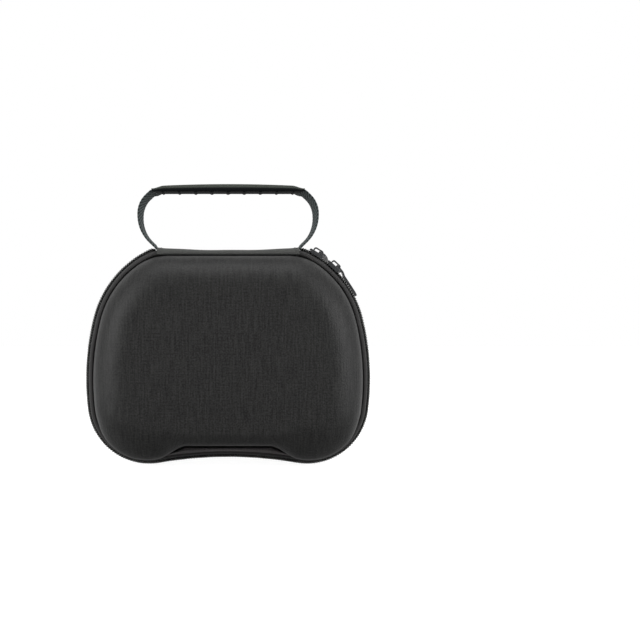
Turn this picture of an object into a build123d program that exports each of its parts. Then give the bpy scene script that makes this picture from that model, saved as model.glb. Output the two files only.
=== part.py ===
from build123d import *
from math import atan, cos, radians, sin, sqrt, tan
import os

# A hard carrying case for a game controller: two moulded fabric-covered shells joined by a
# fabric spine at the top and closed by a two-slider zip round the sides and the bottom, with
# a webbing handle in a moulded grip. It stands closed on its two lower lobes.
# Millimetres. X runs to the right, Y to the back, Z up. The seam between the shells is the
# plane Y = 0, the lid lies in front of it and the base behind it.
# "Inset" is the distance inward from the crest of the zip, square to the outline.
# "Depth" is the distance from the seam plane.

# Outline of the closed case, seen from the front
HALF_WIDTH = 92.5
TOP_HEIGHT = 141.0
WIDEST_DROP = 85.6
SIDE_RADIUS = 165.1
LOBE_RADIUS = 40.2
CORNER_RADIUS = 67.3
CORNER_DROP = 62.2
SHOULDER_RADIUS = 20.0
DIP_RISE = 4.36

# Shells
HALF_DEPTH = 36.0
WALL = 3.7
RIM_DEPTH = 6.0
FLANGE_INSET = 4.9
BULGE_DEPTH = 12.4
BULGE_INSET = 6.3
BULGE_SHOULDER = 40.0
BULGE_DRAFT = 8.0
BULGE_ROUNDING = 22.0
NOTCH_HEIGHT = 12.0
NOTCH_SLOPE = 20.0
NOTCH_CORNER = 8.0

# Zip: two rows of coil on two tapes
COIL_GAP = 1.0
COIL_WIDTH = 2.9
COIL_HEIGHT = 1.6
TOOTH_HEIGHT = 0.8
TOOTH_PITCH = 1.67
TAPE_THICKNESS = 0.6
TAPE_SETBACK = 0.2
TAPE_BEND_DEPTH = 4.6
TAPE_FOOT_DEPTH = 6.8
TAPE_END_DEPTH = 11.0
FIT = 0.1

# Piped band over the outer seam and folded binding over the inner one
BAND_CREST_DEPTH = 9.6
BAND_CREST_INSET = 2.9
BAND_EDGE_DEPTH = 13.3
BAND_EDGE_INSET = 5.2
BAND_LIP = 0.5
BINDING_THICKNESS = 0.6
BINDING_COVER = 4.6
BINDING_TURN = 6.8

# Fabric spine: how far it runs past the centre of each shoulder, and drops from the top
SPINE_OVERRUN = 1.87
SPINE_EDGE_DROP = 5.8
SPINE_EDGE_DEPTH = 14.4
SPINE_END_RISE = 0.4
SPINE_SAG = 1.8
COVER_THICKNESS = 0.9
BAND_GAP = 0.6
ZIP_GAP = 7.5
LINING_END_GAP = 1.0
LINING_DROP = 6.0
LINING_THICKNESS = 0.7
LINING_GAP = 0.2

# Handle: its heights are above the top of the zip
WEB_THICKNESS = 1.4
WEB_WIDTH = 11.0
WEB_SEWN = 9.6
WEB_BEND_SETBACK = 0.8
WEB_ROOT_DROP = 3.1
WEB_SWELL = 12.85
WEB_LOWER_KNEE = 10.3
WEB_UPPER_KNEE = 28.9
WEB_ROOT_RUN = 2.0
WEB_LOWER_RUN = 10.5
WEB_UPPER_RUN = 7.2
WEB_GRIP_RUN = 2.0
WEB_TOP_RUN = 6.5
GRIP_OVERRUN = 4.0
GRIP_WIDTH = 15.0
GRIP_RISE = 35.9
GRIP_END_THICKNESS = 2.6
GRIP_MIDDLE_THICKNESS = 4.0
GRIP_TOP_ROUNDING = 1.2
GRIP_EDGE_ROUNDING = 0.7
RIB_COUNT = 9
RIB_SPACING = 10.6
RIB_LENGTH = 11.0
RIB_WIDTH = 3.4
RIB_TAPER = 0.3
RIB_HEIGHT = 0.9
RIB_ROUNDING = 0.5

# Sliders and pullers
SLIDER_LENGTH = 11.0
SLIDER_WIDTH = 8.8
SLIDER_PLATE = 1.05
SLIDER_CLEARANCE = 0.45
SLIDER_FLANGE = 0.7
SLIDER_FLANGE_LENGTH = 8.4
SLIDER_FLANGE_REACH = 1.6
SLIDER_POST_WIDTH = 0.6
SLIDER_POST_LENGTH = 1.6
SLIDER_CORNER = 2.2
SLIDER_EDGE = 0.4
INNER_PLATE_WIDTH = 8.0
INNER_PLATE_LENGTH = 10.0
BAIL_LENGTH = 7.0
BAIL_HEIGHT = 2.8
BAIL_THICKNESS = 0.9
BAIL_WIDTH = 1.0
BAIL_CORNER = 1.4
PULLER_LENGTH = 21.0
PULLER_WIDTH = 5.0
PULLER_THICKNESS = 1.3
EYE_RADIUS = 1.7
EYE_WALL = 0.9
NECK_WIDTH = 3.4
NECK_END = 6.0
BEND_PLACE = 3.6
PULLER_BEND = 12.0
GROOVE_COUNT = 7
GROOVE_SPACING = 1.5
GROOVE_WIDTH = 0.8
GROOVE_DEPTH = 0.3
GROOVE_MARGIN = 0.8
TIP_HOLE = 0.8
SLIDER_ANGLES = (31.6, 43.4)
PULLER_2_DIP = 4.0
PULLER_2_PIVOT = 1.0
PULLER_1_TURN = 66.0

# Gaps in the lid's half of the zip, where the sliders stand
MOUTH_MARGIN = 1.2
MOUTH_DEPTH = 4.9
MOUTH_REACH = 3.2

# Inside
STRAP_WIDTH = 25.0
STRAP_THICKNESS = 1.2
STRAP_DROP = 75.0
STRAP_SIDE_GAP = 34.5
STRAP_SEWN = 12.0
STRAP_BOW = 4.0
PATCH_THICKNESS = 0.8
PATCH_EDGE = 1.0
POCKET_DROP = 57.0
POCKET_INSET = 30.0
POCKET_THICKNESS = 0.7
HEM_HEIGHT = 7.0
HEM_THICKNESS = 1.6
SEAT = 0.1

UP = Vector(0, 1)

# Heights of the centres of the outline's side arcs and corner arcs
widest_height = TOP_HEIGHT - WIDEST_DROP
corner_height = TOP_HEIGHT - CORNER_DROP


def inside_side(radius, height):
    """Centre of a circle of this radius and height that touches the side arc from inside."""
    reach = SIDE_RADIUS - radius
    return Vector(HALF_WIDTH - SIDE_RADIUS + sqrt(reach**2 - (height - widest_height) ** 2), height)


def inside_corner(radius):
    """Centre of a shoulder circle that touches the top line and the corner arc from inside."""
    height = TOP_HEIGHT - radius
    reach = CORNER_RADIUS - radius
    return Vector(corner_centre.X + sqrt(reach**2 - (height - corner_height) ** 2), height)


side_centre = Vector(HALF_WIDTH - SIDE_RADIUS, widest_height)
lobe_centre = inside_side(LOBE_RADIUS, LOBE_RADIUS)
corner_centre = inside_side(CORNER_RADIUS, corner_height)
spine_end = inside_corner(SHOULDER_RADIUS).X + SPINE_OVERRUN
dip_radius = (lobe_centre.X**2 - 2 * LOBE_RADIUS * DIP_RISE + DIP_RISE**2) / (2 * DIP_RISE)
dip_centre = Vector(0, DIP_RISE - dip_radius)

to_corner = (corner_centre - side_centre).normalized()
to_lobe = (lobe_centre - side_centre).normalized()
to_dip = (dip_centre - lobe_centre).normalized()


def arc_between(centre, radius, start, end):
    """Arc about a centre from one direction to another, the short way round."""
    middle = (start + end).normalized()
    return ThreePointArc(centre + start * radius, centre + middle * radius, centre + end * radius)


def right_side(inset, start=UP, shoulder=SHOULDER_RADIUS):
    """Arcs from the top, down the right side, to the underside of the lobe."""
    shoulder_centre = inside_corner(shoulder)
    to_shoulder = (shoulder_centre - corner_centre).normalized()
    arc_between(shoulder_centre, shoulder - inset, start, to_shoulder)
    arc_between(corner_centre, CORNER_RADIUS - inset, to_shoulder, to_corner)
    arc_between(side_centre, SIDE_RADIUS - inset, to_corner, to_lobe)


def smooth_half(inset, start=UP, shoulder=SHOULDER_RADIUS):
    """The right half of the outline with the gentle dip between the lobes."""
    right_side(inset, start, shoulder)
    arc_between(lobe_centre, LOBE_RADIUS - inset, to_lobe, to_dip)
    arc_between(dip_centre, dip_radius + inset, to_dip * -1, UP)


def notched_half(inset):
    """The right half of a bulge's outline, where a straight notch takes the dip's place."""
    right_side(inset, UP, BULGE_SHOULDER)
    radius = LOBE_RADIUS - inset
    notch_height = NOTCH_HEIGHT + inset - BULGE_INSET
    corner = NOTCH_CORNER + inset - BULGE_INSET
    to_slope = Vector(-sin(radians(NOTCH_SLOPE)), -cos(radians(NOTCH_SLOPE)))
    lobe_foot = lobe_centre + to_slope * radius
    arc_between(lobe_centre, radius, to_lobe, to_slope)
    run = (notch_height - lobe_foot.Y) / tan(radians(NOTCH_SLOPE))
    corner_run = corner * tan(radians(NOTCH_SLOPE / 2))
    corner_centre_x = lobe_foot.X - run - corner_run
    turn = Vector(corner_centre_x, notch_height - corner)
    slope_end = turn + to_slope * -corner
    Line(lobe_foot, slope_end)
    arc_between(turn, corner, to_slope * -1, UP)
    Line((corner_centre_x, notch_height), (0, notch_height))


def outline_face(plane, inset, half=smooth_half):
    """The whole outline at this inset, as a face on the plane."""
    with BuildSketch(plane) as face:
        with BuildLine() as line:
            half(inset)
            mirror(about=Plane.YZ)
            top = line.vertices().group_by(Axis.Y)[-1].sort_by(Axis.X)
            Line(top[0].center(), top[-1].center())
        make_face()
    return face.sketch


def front_plane(depth):
    """Plane square to the depth, in front of the seam, looking at the front of the case."""
    return Plane.XZ.offset(depth)


# The line that the zip and its bands follow, from the right shoulder round to the left one
with BuildLine() as flat_line:
    smooth_half(0)
    mirror(about=Plane.YZ)
zip_line = flat_line.wire().moved(Plane.XZ.location)
zip_plane = Plane(origin=zip_line @ 0, x_dir=(0, -1, 0), z_dir=zip_line % 0)


def cut_spine(gap):
    """Cut the stretch that the spine takes, and a gap at its ends, out of the open piece."""
    with BuildSketch(Plane.XY.offset(corner_height)) as spine_stretch:
        Rectangle(2 * (spine_end + gap), 2 * HALF_DEPTH)
    extrude(spine_stretch.sketch, amount=TOP_HEIGHT, mode=Mode.SUBTRACT)


def sweep_round(outline):
    """A strip along the zip line, from its section's corners as (depth, inset)."""
    with BuildPart() as strip:
        with BuildSketch(zip_plane) as section:
            with BuildLine():
                Polyline(*outline, close=True)
            make_face()
        sweep(sections=section.sketch, path=zip_line)
    return strip.part


# Lid shell: a flange that carries the zip, and a bulge with a wide soft rounding
bulge_height = HALF_DEPTH - BULGE_DEPTH
with BuildPart() as lid_hollow:
    extrude(outline_face(front_plane(BULGE_DEPTH), BULGE_INSET + WALL, notched_half),
            amount=bulge_height - WALL, taper=BULGE_DRAFT)
    fillet(lid_hollow.faces().sort_by(Axis.Y)[0].edges(), radius=BULGE_ROUNDING - WALL)
    extrude(outline_face(front_plane(RIM_DEPTH), BULGE_INSET + WALL),
            amount=BULGE_DEPTH - RIM_DEPTH)

with BuildPart() as lid_shell:
    extrude(outline_face(front_plane(BULGE_DEPTH), BULGE_INSET, notched_half),
            amount=bulge_height, taper=BULGE_DRAFT)
    fillet(lid_shell.faces().sort_by(Axis.Y)[0].edges(), radius=BULGE_ROUNDING)
    extrude(outline_face(front_plane(RIM_DEPTH), FLANGE_INSET), amount=BULGE_DEPTH - RIM_DEPTH)
    add(lid_hollow.part, mode=Mode.SUBTRACT)

with BuildPart() as base_shell:
    mirror(lid_shell.part, about=Plane.XZ)

# Zip coil: a toothed strip along the zip line, one row on each side of the seam
tooth_steps = 2 * round(zip_line.length / TOOTH_PITCH)
tooth_line = []
for step in range(tooth_steps + 1):
    place = zip_line @ (step / tooth_steps)
    along = zip_line % (step / tooth_steps)
    drop = TOOTH_HEIGHT if step % 2 == 0 else 0
    tooth_line.append((place.X + along.Z * drop, place.Z - along.X * drop))

with BuildSketch(front_plane(COIL_GAP / 2)) as coil_face:
    with BuildLine() as coil_line:
        Polyline(*tooth_line)
        smooth_half(COIL_HEIGHT)
        mirror(about=Plane.YZ)
        inner_end = inside_corner(SHOULDER_RADIUS) + UP * (SHOULDER_RADIUS - COIL_HEIGHT)
        Line(tooth_line[0], inner_end)
        Line(tooth_line[-1], (-inner_end.X, inner_end.Y))
    make_face()

with BuildPart() as full_coil:
    extrude(coil_face.sketch, amount=COIL_WIDTH)
    cut_spine(ZIP_GAP)

# Zip tape: flat under the coil, then stepping in to lie on the flange under the band
tape_foot = FLANGE_INSET - FIT - TAPE_THICKNESS
tape_slope = atan((tape_foot - COIL_HEIGHT) / (TAPE_FOOT_DEPTH - TAPE_BEND_DEPTH))
skew = TAPE_THICKNESS / 2 * tan(tape_slope / 2)
tape_edge = COIL_GAP / 2 + TAPE_SETBACK
tape_strip = sweep_round((
    (tape_edge, COIL_HEIGHT),
    (TAPE_BEND_DEPTH + skew, COIL_HEIGHT),
    (TAPE_FOOT_DEPTH + skew, tape_foot),
    (TAPE_END_DEPTH, tape_foot),
    (TAPE_END_DEPTH, tape_foot + TAPE_THICKNESS),
    (TAPE_FOOT_DEPTH - skew, tape_foot + TAPE_THICKNESS),
    (TAPE_BEND_DEPTH - skew, COIL_HEIGHT + TAPE_THICKNESS),
    (tape_edge, COIL_HEIGHT + TAPE_THICKNESS),
))

with BuildPart() as full_tape:
    add(tape_strip)
    cut_spine(ZIP_GAP)


def slider_place(angle):
    """Plane on the crest of the zip: X down the zip, Y to the back, Z out of the case."""
    turn = radians(angle)
    centre = Vector(corner_centre.X, 0, corner_centre.Y)
    outward = Vector(sin(turn), 0, cos(turn))
    return Plane(centre + outward * CORNER_RADIUS, x_dir=(cos(turn), 0, -sin(turn)), z_dir=outward)


# The lid's coil and tape stop at each slider, so that the lid opens past it
mouth_length = SLIDER_LENGTH + 2 * MOUTH_MARGIN
with BuildPart() as mouths:
    for angle in SLIDER_ANGLES:
        with BuildSketch(slider_place(angle)):
            with Locations((0, -MOUTH_DEPTH / 2)):
                Rectangle(mouth_length, MOUTH_DEPTH)
        extrude(amount=MOUTH_REACH, both=True)

with BuildPart() as lid_zip_coil:
    add(full_coil.part)
    add(mouths.part, mode=Mode.SUBTRACT)

with BuildPart() as base_zip_coil:
    mirror(full_coil.part, about=Plane.XZ)

with BuildPart() as lid_zip_tape:
    add(full_tape.part)
    add(mouths.part, mode=Mode.SUBTRACT)

with BuildPart() as base_zip_tape:
    mirror(full_tape.part, about=Plane.XZ)

# Piped band over the outer seam, rounded outward, with a lip over the edge of the flange
band_seat = tape_foot - FIT
with BuildPart() as lid_side_band:
    with BuildSketch(zip_plane) as band_section:
        with BuildLine():
            band_foot = (TAPE_FOOT_DEPTH + BAND_LIP, band_seat)
            band_edge = (BAND_EDGE_DEPTH, BAND_EDGE_INSET)
            ThreePointArc(band_foot, (BAND_CREST_DEPTH, BAND_CREST_INSET), band_edge)
            Polyline(
                band_edge,
                (BAND_EDGE_DEPTH, BULGE_INSET - 2 * FIT),
                (BULGE_DEPTH + FIT, BULGE_INSET - 2 * FIT),
                (BULGE_DEPTH + FIT, FLANGE_INSET - FIT),
                (TAPE_END_DEPTH + FIT, FLANGE_INSET - FIT),
                (TAPE_END_DEPTH + FIT, band_seat),
                band_foot,
            )
        make_face()
    sweep(sections=band_section.sketch, path=zip_line)
    cut_spine(BAND_GAP)

with BuildPart() as base_side_band:
    mirror(lid_side_band.part, about=Plane.XZ)

# Inner binding: folded over the rim of each shell
cavity_inset = BULGE_INSET + WALL
binding_front = RIM_DEPTH - FIT
binding_wall = cavity_inset + FIT
lid_binding_strip = sweep_round((
    (binding_front - BINDING_THICKNESS, cavity_inset - BINDING_COVER),
    (binding_front, cavity_inset - BINDING_COVER),
    (binding_front, binding_wall),
    (RIM_DEPTH + BINDING_TURN - BINDING_THICKNESS, binding_wall),
    (RIM_DEPTH + BINDING_TURN - BINDING_THICKNESS, binding_wall + BINDING_THICKNESS),
    (binding_front - BINDING_THICKNESS, binding_wall + BINDING_THICKNESS),
))

with BuildPart() as lid_inner_binding:
    add(lid_binding_strip)
    cut_spine(BAND_GAP)

with BuildPart() as base_inner_binding:
    mirror(lid_inner_binding.part, about=Plane.XZ)


# Spine cover: an arched strip of fabric that sags a little between its sewn ends. Its two long
# edges lie at the same height, on the shells
spine_edge_height = TOP_HEIGHT - SPINE_EDGE_DROP


def cover_section(place, crest):
    """Arched section of the cover, square to X."""
    rise = crest - spine_edge_height
    with BuildSketch(Plane.YZ.offset(place)) as section:
        with Locations((0, spine_edge_height)):
            Ellipse(SPINE_EDGE_DEPTH, rise)
            Ellipse(SPINE_EDGE_DEPTH - COVER_THICKNESS, rise - COVER_THICKNESS, mode=Mode.SUBTRACT)
        with Locations((0, spine_edge_height - rise)):
            Rectangle(3 * SPINE_EDGE_DEPTH, 2 * rise, mode=Mode.SUBTRACT)
    return section.sketch


with BuildPart() as spine_cover:
    loft(sections=[
        cover_section(-spine_end, TOP_HEIGHT + SPINE_END_RISE),
        cover_section(0, TOP_HEIGHT - SPINE_SAG),
        cover_section(spine_end, TOP_HEIGHT + SPINE_END_RISE),
    ])

with BuildPart() as spine_lining:
    with BuildSketch(Plane.XY.offset(TOP_HEIGHT - LINING_DROP)):
        Rectangle(2 * (spine_end - LINING_END_GAP), 2 * (RIM_DEPTH - LINING_GAP))
    extrude(amount=-LINING_THICKNESS)

# Handle: one length of webbing, sewn down under the spine cover at both ends
grip_bottom = TOP_HEIGHT + GRIP_RISE
grip_half_length = spine_end + GRIP_OVERRUN
grip_end_height = grip_bottom + GRIP_END_THICKNESS / 2
grip_middle_height = grip_bottom + GRIP_MIDDLE_THICKNESS / 2
web_right = [
    Vector(spine_end - WEB_SEWN, TOP_HEIGHT - WEB_ROOT_DROP),
    Vector(spine_end - WEB_BEND_SETBACK, TOP_HEIGHT - WEB_ROOT_DROP),
    Vector(spine_end + WEB_SWELL, TOP_HEIGHT + WEB_LOWER_KNEE),
    Vector(spine_end + WEB_SWELL, TOP_HEIGHT + WEB_UPPER_KNEE),
    Vector(grip_half_length, grip_end_height),
]
web_left = [Vector(-corner.X, corner.Y) for corner in reversed(web_right)]
web_corners = web_right + [Vector(0, grip_middle_height)] + web_left
web_runs = [WEB_ROOT_RUN, WEB_LOWER_RUN, WEB_UPPER_RUN, WEB_GRIP_RUN]


def bend_radius(before, corner, after, run):
    """Radius of the bend that starts and ends this far from the corner."""
    return run * tan(radians((before - corner).get_angle(after - corner) / 2))


web_radii = [
    bend_radius(before, corner, after, run)
    for before, corner, after, run in zip(
        web_corners, web_corners[1:], web_corners[2:], web_runs + [WEB_TOP_RUN] + web_runs[::-1])
]
with BuildLine() as web_flat:
    FilletPolyline(*web_corners, radius=web_radii)
web_line = web_flat.wire().moved(Plane.XZ.location)
web_plane = Plane(origin=web_line @ 0, x_dir=(0, 1, 0), z_dir=web_line % 0)


def webbing(width, thickness):
    """Flat strip of this section along the handle's line."""
    with BuildPart() as strip:
        with BuildSketch(web_plane) as section:
            Rectangle(width, thickness)
        sweep(sections=section.sketch, path=web_line)
    return strip.part


with BuildPart() as handle_webbing:
    add(webbing(WEB_WIDTH, WEB_THICKNESS))

# Grip: flat below, arched above, moulded round the webbing, with ribs for the fingers
with BuildPart() as handle_grip:
    with BuildSketch(Plane.XZ):
        with BuildLine():
            grip_top = grip_bottom + GRIP_END_THICKNESS
            ThreePointArc(
                (grip_half_length, grip_top),
                (0, grip_bottom + GRIP_MIDDLE_THICKNESS),
                (-grip_half_length, grip_top),
            )
            Polyline(
                (-grip_half_length, grip_top),
                (-grip_half_length, grip_bottom),
                (grip_half_length, grip_bottom),
                (grip_half_length, grip_top),
            )
        make_face()
    extrude(amount=GRIP_WIDTH / 2, both=True)
    long_edges = handle_grip.edges().filter_by(lambda edge: edge.length > grip_half_length)
    fillet(long_edges.sort_by(Axis.Z)[-2:], radius=GRIP_TOP_ROUNDING)
    fillet(long_edges.sort_by(Axis.Z)[:2], radius=GRIP_EDGE_ROUNDING)
    with BuildSketch(Plane.XY.offset(grip_bottom)):
        for rib in range(RIB_COUNT):
            offset_count = rib - (RIB_COUNT - 1) / 2
            with Locations((offset_count * RIB_SPACING, 0)):
                SlotOverall(RIB_LENGTH, RIB_WIDTH - RIB_TAPER * abs(offset_count), rotation=90)
    ribs = extrude(amount=-RIB_HEIGHT)
    fillet(ribs.faces().filter_by(Plane.XY).sort_by(Axis.Z)[:RIB_COUNT].edges(), radius=RIB_ROUNDING)
    add(webbing(WEB_WIDTH + 2 * FIT, WEB_THICKNESS + 2 * FIT), mode=Mode.SUBTRACT)

# Slider, lying on the X axis with the crest of the zip at Z = 0
outer_plate_top = SLIDER_CLEARANCE + SLIDER_PLATE
inner_plate_top = -(COIL_HEIGHT + TAPE_THICKNESS + SLIDER_CLEARANCE)
with BuildPart() as slider:
    with BuildSketch(Plane.XY.offset(SLIDER_CLEARANCE)):
        RectangleRounded(SLIDER_LENGTH, SLIDER_WIDTH, SLIDER_CORNER)
    extrude(amount=SLIDER_PLATE)
    fillet(slider.faces().sort_by(Axis.Z)[-1].edges(), radius=SLIDER_EDGE)
    with BuildSketch(Plane.XY.offset(SLIDER_CLEARANCE)):
        flange_place = (SLIDER_WIDTH - SLIDER_FLANGE) / 2
        with Locations((0, flange_place), (0, -flange_place)):
            Rectangle(SLIDER_FLANGE_LENGTH, SLIDER_FLANGE)
    extrude(amount=-SLIDER_FLANGE_REACH)
    with BuildSketch(Plane.XY.offset(inner_plate_top)):
        RectangleRounded(INNER_PLATE_LENGTH, INNER_PLATE_WIDTH, SLIDER_CORNER)
    extrude(amount=-SLIDER_PLATE)
    with BuildSketch(Plane.XY.offset(SLIDER_CLEARANCE)):
        with Locations((-(INNER_PLATE_LENGTH - SLIDER_POST_LENGTH) / 2 + SLIDER_POST_WIDTH, 0)):
            Rectangle(SLIDER_POST_LENGTH, SLIDER_POST_WIDTH)
    extrude(amount=inner_plate_top - SLIDER_CLEARANCE)
    with BuildSketch(Plane.XZ):
        with Locations((0, outer_plate_top)):
            RectangleRounded(BAIL_LENGTH, 2 * BAIL_HEIGHT, BAIL_CORNER)
            RectangleRounded(BAIL_LENGTH - 2 * BAIL_THICKNESS, 2 * (BAIL_HEIGHT - BAIL_THICKNESS),
                             BAIL_CORNER - BAIL_THICKNESS / 2, mode=Mode.SUBTRACT)
            Rectangle(BAIL_LENGTH, BAIL_HEIGHT, align=(Align.CENTER, Align.MAX), mode=Mode.SUBTRACT)
    extrude(amount=BAIL_WIDTH / 2, both=True)

# Puller, lying on the X axis with the centre of its eye at the origin, bent down past its neck
eye_outside = EYE_RADIUS + EYE_WALL
bend = radians(PULLER_BEND)
shank_plane = Plane((BEND_PLACE, 0, 0), x_dir=(cos(bend), 0, -sin(bend)), z_dir=(sin(bend), 0, cos(bend)))
shank_length = PULLER_LENGTH - BEND_PLACE
half_thick = PULLER_THICKNESS / 2
bend_shift = half_thick * tan(bend / 2)
tip_middle = Vector(BEND_PLACE + shank_length * cos(bend), -shank_length * sin(bend))
tip_half = Vector(sin(bend), cos(bend)) * half_thick
tip_round = PULLER_WIDTH / 2
with BuildPart() as puller:
    with BuildSketch(Plane.XZ):
        with BuildLine():
            Polyline(
                (-eye_outside, half_thick),
                (BEND_PLACE + bend_shift, half_thick),
                tip_middle + tip_half,
                tip_middle - tip_half,
                (BEND_PLACE - bend_shift, -half_thick),
                (-eye_outside, -half_thick),
                close=True,
            )
        make_face()
    extrude(amount=PULLER_WIDTH, both=True)
    with BuildSketch(Plane.XY):
        Circle(eye_outside)
        with BuildLine():
            Polyline(
                (0, NECK_WIDTH / 2),
                (NECK_END, PULLER_WIDTH / 2),
                (PULLER_LENGTH - tip_round, PULLER_WIDTH / 2),
                (PULLER_LENGTH - tip_round, -PULLER_WIDTH / 2),
                (NECK_END, -PULLER_WIDTH / 2),
                (0, -NECK_WIDTH / 2),
                close=True,
            )
        make_face()
        with Locations((PULLER_LENGTH - tip_round, 0)):
            Circle(tip_round)
            Circle(TIP_HOLE, mode=Mode.SUBTRACT)
        Circle(EYE_RADIUS, mode=Mode.SUBTRACT)
    extrude(amount=PULLER_LENGTH, both=True, mode=Mode.INTERSECT)
    with BuildSketch(shank_plane.offset(half_thick)):
        with Locations((shank_length / 2, 0)):
            with GridLocations(GROOVE_SPACING, 0, GROOVE_COUNT, 1):
                Rectangle(GROOVE_WIDTH, PULLER_WIDTH - 2 * GROOVE_MARGIN)
    extrude(amount=-GROOVE_DEPTH, mode=Mode.SUBTRACT)

# The sliders and their pullers in place: puller 1 is turned to the back about the bail's lower
# leg, puller 2 hangs down along the zip from the bar of its eye
bail_middle = outer_plate_top + (BAIL_HEIGHT - BAIL_THICKNESS) / 2
leg_place = (BAIL_LENGTH - BAIL_THICKNESS) / 2
bar_place = -(EYE_RADIUS + EYE_WALL / 2)
upper_slider, lower_slider = [slider_place(angle).location for angle in SLIDER_ANGLES]
turned_back = Location((leg_place, 0, bail_middle), (0, 0, PULLER_1_TURN))
hanging = Location((PULLER_2_PIVOT, 0, bail_middle), (0, PULLER_2_DIP, 0))
from_bar = Location((-bar_place, 0, 0))

with BuildPart() as slider_1_body:
    add(slider.part.moved(upper_slider))

with BuildPart() as slider_2_body:
    add(slider.part.moved(lower_slider))

with BuildPart() as slider_1_puller:
    add(puller.part.moved(upper_slider * turned_back))

with BuildPart() as slider_2_puller:
    add(puller.part.moved(lower_slider * hanging * from_bar))

# Elastic strap that holds the controller in the base, sewn down under a patch at each end
inner_face = HALF_DEPTH - WALL
strap_height = TOP_HEIGHT - STRAP_DROP
strap_half_span = HALF_WIDTH - STRAP_SIDE_GAP
strap_depth = inner_face - SEAT - STRAP_THICKNESS / 2
strap_free = strap_half_span - STRAP_SEWN
with BuildLine(Plane.XY) as strap_flat:
    FilletPolyline(
        (-strap_half_span, strap_depth),
        (-strap_free, strap_depth),
        (0, strap_depth - STRAP_BOW),
        (strap_free, strap_depth),
        (strap_half_span, strap_depth),
        radius=(STRAP_SEWN, strap_half_span, STRAP_SEWN),
    )
strap_line = strap_flat.wire().moved(Location((0, 0, strap_height)))
with BuildPart() as retaining_strap:
    with BuildSketch(Plane(strap_line @ 0, x_dir=(0, 0, 1), z_dir=strap_line % 0)) as strap_section:
        Rectangle(STRAP_WIDTH, STRAP_THICKNESS)
    sweep(sections=strap_section.sketch, path=strap_line)

patch_depth = inner_face - 2 * SEAT - STRAP_THICKNESS
patch_middle = strap_half_span - STRAP_SEWN / 2 + PATCH_EDGE
with BuildPart() as strap_patches:
    with BuildSketch(front_plane(-patch_depth)):
        with Locations((patch_middle, strap_height), (-patch_middle, strap_height)):
            RectangleRounded(STRAP_SEWN, STRAP_WIDTH + 2 * PATCH_EDGE, PATCH_EDGE)
    extrude(amount=PATCH_THICKNESS)


# Net pocket in the lid, with an elastic hem along its mouth
def pocket_half(inset):
    """Half outline of the pocket, with the bulge's softer shoulder."""
    smooth_half(inset, UP, BULGE_SHOULDER)


def pocket_face(depth, bottom, height):
    """Slice of the pocket's outline between two heights."""
    with BuildSketch(front_plane(depth)) as slice_face:
        add(outline_face(Plane.XY, POCKET_INSET, pocket_half))
        with Locations((0, bottom)):
            Rectangle(2 * HALF_WIDTH, height, align=(Align.CENTER, Align.MIN), mode=Mode.INTERSECT)
    return slice_face.sketch


pocket_top = TOP_HEIGHT - POCKET_DROP
with BuildPart() as mesh_pocket:
    extrude(pocket_face(inner_face - SEAT, 0, pocket_top), amount=-POCKET_THICKNESS)

with BuildPart() as pocket_hem:
    extrude(pocket_face(inner_face - SEAT, pocket_top, HEM_HEIGHT), amount=-HEM_THICKNESS)

pieces = {
    "base_shell": base_shell,
    "base_side_band": base_side_band,
    "base_zip_tape": base_zip_tape,
    "base_zip_coil": base_zip_coil,
    "base_inner_binding": base_inner_binding,
    "retaining_strap": retaining_strap,
    "strap_patches": strap_patches,
    "lid_shell": lid_shell,
    "lid_side_band": lid_side_band,
    "lid_zip_tape": lid_zip_tape,
    "lid_zip_coil": lid_zip_coil,
    "lid_inner_binding": lid_inner_binding,
    "mesh_pocket": mesh_pocket,
    "pocket_hem": pocket_hem,
    "spine_cover": spine_cover,
    "spine_lining": spine_lining,
    "handle_webbing": handle_webbing,
    "handle_grip": handle_grip,
    "slider_1_body": slider_1_body,
    "slider_1_puller": slider_1_puller,
    "slider_2_body": slider_2_body,
    "slider_2_puller": slider_2_puller,
}
os.makedirs("parts", exist_ok=True)
for name, piece in pieces.items():
    piece.part.label = name
    export_step(piece.part, f"parts/{name}.step")
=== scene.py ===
from math import acos, atan2, ceil, cos, hypot, pi, radians, sin, sqrt, tan

import bmesh
import bpy
import numpy as np
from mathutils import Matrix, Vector

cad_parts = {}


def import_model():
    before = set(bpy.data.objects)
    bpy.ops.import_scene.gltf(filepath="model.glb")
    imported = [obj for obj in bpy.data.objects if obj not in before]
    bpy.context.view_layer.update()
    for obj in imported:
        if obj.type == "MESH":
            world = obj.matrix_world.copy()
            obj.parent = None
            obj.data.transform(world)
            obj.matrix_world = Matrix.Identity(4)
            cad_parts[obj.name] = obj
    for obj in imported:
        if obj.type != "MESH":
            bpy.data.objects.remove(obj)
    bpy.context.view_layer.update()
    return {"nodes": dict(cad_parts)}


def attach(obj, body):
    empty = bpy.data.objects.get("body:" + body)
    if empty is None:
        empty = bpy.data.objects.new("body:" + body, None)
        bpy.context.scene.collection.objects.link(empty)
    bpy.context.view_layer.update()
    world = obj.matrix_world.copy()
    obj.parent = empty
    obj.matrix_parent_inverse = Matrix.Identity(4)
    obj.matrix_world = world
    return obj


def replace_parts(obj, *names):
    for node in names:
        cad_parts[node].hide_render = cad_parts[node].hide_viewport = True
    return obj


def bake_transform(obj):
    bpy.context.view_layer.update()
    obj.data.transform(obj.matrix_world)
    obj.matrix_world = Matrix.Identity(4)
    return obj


# The carrying case as it is photographed. Shapes are worked out in millimetres, in the model's
# own frame, and turned into metres when a mesh is made. A point on the case's outline has an
# inset (distance inward from the crest of the zip) and a depth (distance from the seam plane).

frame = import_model()
nodes = frame["nodes"]
MM = 0.001

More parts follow.
